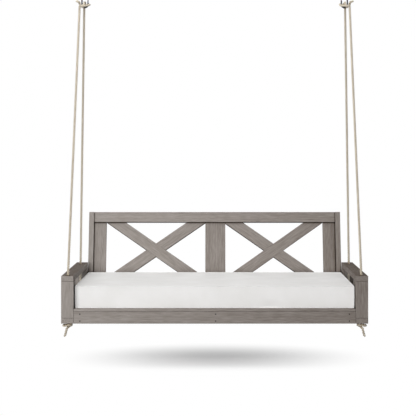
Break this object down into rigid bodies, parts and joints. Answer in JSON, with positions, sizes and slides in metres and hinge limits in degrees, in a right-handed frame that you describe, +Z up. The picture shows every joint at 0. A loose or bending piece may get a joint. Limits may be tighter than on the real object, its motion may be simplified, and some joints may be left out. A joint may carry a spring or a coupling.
{
  "type": "porch swing",
  "caption": "Ceiling-hung daybed swing: timber seat with open-sided arms and a leaning back of crossed braces, a thick box cushion, and knotted ropes on spring hooks and pivoting hangers.",
  "frame": {"origin": "on the ceiling plane, midway between the two hanger plates, above the centre of mass of what hangs", "axes": "+X to the right as seen from the front, +Y from the front to the back, +Z up into the ceiling"},
  "size_m": [2.134, 1.1801, 2.5474],
  "materials": {
    "grey_wood": "matte",
    "rope": "matte",
    "cushion_cover": "matte",
    "chromed_steel": "polished",
    "zinc_steel": "satin",
    "dark_screws": "matte"
  },
  "bodies": {
    "ceiling": {"hanger_plate_left": "zinc_steel", "hanger_plate_right": "zinc_steel", "hanger_axle_left": "zinc_steel", "hanger_axle_right": "zinc_steel", "axle_nuts": "zinc_steel"},
    "hanger_links": {"hanger_link_left": "zinc_steel", "hanger_link_right": "zinc_steel"},
    "left_sling": {"carabiner_left": "chromed_steel", "gate_rivet_left": "chromed_steel", "rope_upper_front_left": "rope", "rope_upper_back_left": "rope", "rope_top_knot_left": "rope"},
    "right_sling": {"carabiner_right": "chromed_steel", "gate_rivet_right": "chromed_steel", "rope_upper_front_right": "rope", "rope_upper_back_right": "rope", "rope_top_knot_right": "rope"},
    "seat": {"arm_top_rail_left": "grey_wood", "arm_front_post_left": "grey_wood", "arm_back_post_left": "grey_wood", "arm_bottom_rail_left": "grey_wood", "arm_top_rail_right": "grey_wood", "arm_front_post_right": "grey_wood", "arm_back_post_right": "grey_wood", "arm_bottom_rail_right": "grey_wood", "front_rail": "grey_wood", "rear_rail": "grey_wood", "end_beam_left": "grey_wood", "centre_beam": "grey_wood", "end_beam_right": "grey_wood", "front_slat": "grey_wood", "deck_slats": "grey_wood", "back_post_left": "grey_wood", "back_post_right": "grey_wood", "back_top_rail": "grey_wood", "back_bottom_rail": "grey_wood", "back_stile_left": "grey_wood", "back_stile_right": "grey_wood", "back_centre_stile": "grey_wood", "brace_left_falling": "grey_wood", "brace_left_rising": "grey_wood", "brace_right_rising": "grey_wood", "brace_right_falling": "grey_wood", "cushion": "cushion_cover", "rope_lower_front_left": "rope", "rope_end_knot_front_left": "rope", "rope_lower_front_right": "rope", "rope_end_knot_front_right": "rope", "rope_lower_back_left": "rope", "rope_end_knot_back_left": "rope", "rope_lower_back_right": "rope", "rope_end_knot_back_right": "rope", "rail_screws": "dark_screws", "slat_screws": "dark_screws", "arm_screws": "dark_screws", "back_bolts": "dark_screws"},
    "gate_left": {"carabiner_gate_left": "chromed_steel"},
    "gate_right": {"carabiner_gate_right": "chromed_steel"}
  },
  "joints": [
    {"name": "swing", "type": "hinge", "parent": "ceiling", "child": "hanger_links", "pos_m": [0, 0, -0.03], "axis": [1, 0, 0], "range_deg": [-25, 25]},
    {"name": "left_rope_sway", "type": "hinge", "parent": "hanger_links", "child": "left_sling", "pos_m": [-0.959, 0, -0.107], "axis": [0, 1, 0], "range_deg": [-6, 6]},
    {"name": "right_rope_sway", "type": "hinge", "parent": "hanger_links", "child": "right_sling", "pos_m": [0.959, 0, -0.107], "axis": [0, 1, 0], "range_deg": [-6, 6]},
    {"name": "seat_sway", "type": "hinge", "parent": "left_sling", "child": "seat", "pos_m": [-1.024, 0, -2.117], "axis": [0, 1, 0], "range_deg": [-5.6, 5.6]},
    {"name": "left_gate_opens", "type": "hinge", "parent": "left_sling", "child": "gate_left", "pos_m": [-0.9365, 0, -0.147], "axis": [0, 1, 0], "range_deg": [-25, 0], "stiffness_Nm_per_rad": 0.2, "springref_deg": 17.19},
    {"name": "right_gate_opens", "type": "hinge", "parent": "right_sling", "child": "gate_right", "pos_m": [0.9365, 0, -0.147], "axis": [0, 1, 0], "range_deg": [0, 25], "stiffness_Nm_per_rad": 0.2, "springref_deg": -17.19}
  ],
  "couplings": [
    {"joint": "left_rope_sway", "follows": "seat_sway", "ratio": -1.0678},
    {"joint": "right_rope_sway", "follows": "seat_sway", "ratio": -1.0678}
  ]
}
